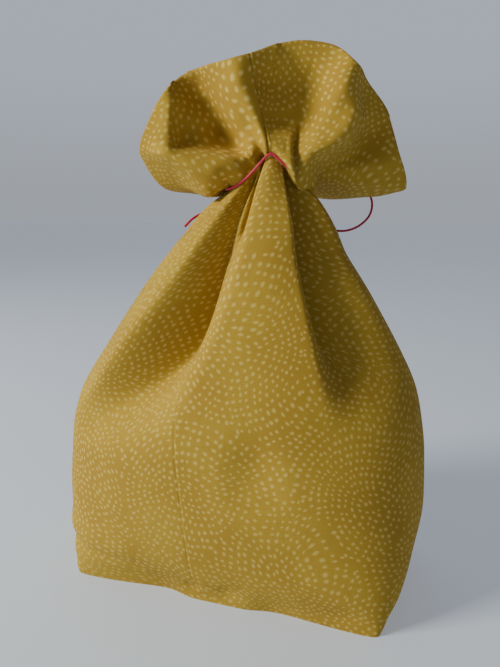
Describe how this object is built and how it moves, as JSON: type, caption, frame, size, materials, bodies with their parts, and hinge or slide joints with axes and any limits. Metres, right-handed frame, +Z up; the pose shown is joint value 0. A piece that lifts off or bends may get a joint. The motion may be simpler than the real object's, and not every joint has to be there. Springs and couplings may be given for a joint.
{
  "type": "gift pouch",
  "caption": "Soft cotton gift pouch with a boxed flat base, gathered and tied at the neck with a thin cord below an open ruffled mouth.",
  "frame": {"origin": "middle of the flat base, on the surface the pouch stands on", "axes": "+Z up, +X along the base's front edge to the right, front of the pouch towards -Y"},
  "size_m": [0.2307, 0.1341, 0.3211],
  "materials": {
    "cotton": "matt plain-weave cotton, mustard with small pale dots",
    "cord": "thin round cord with a soft sheen"
  },
  "bodies": {
    "root": {"pouch_cloth": "cotton", "tie_band": "cord", "tie_knot": "cord", "tie_loop": "cord", "tie_end_left": "cord", "tie_end_back": "cord"}
  },
  "joints": []
}
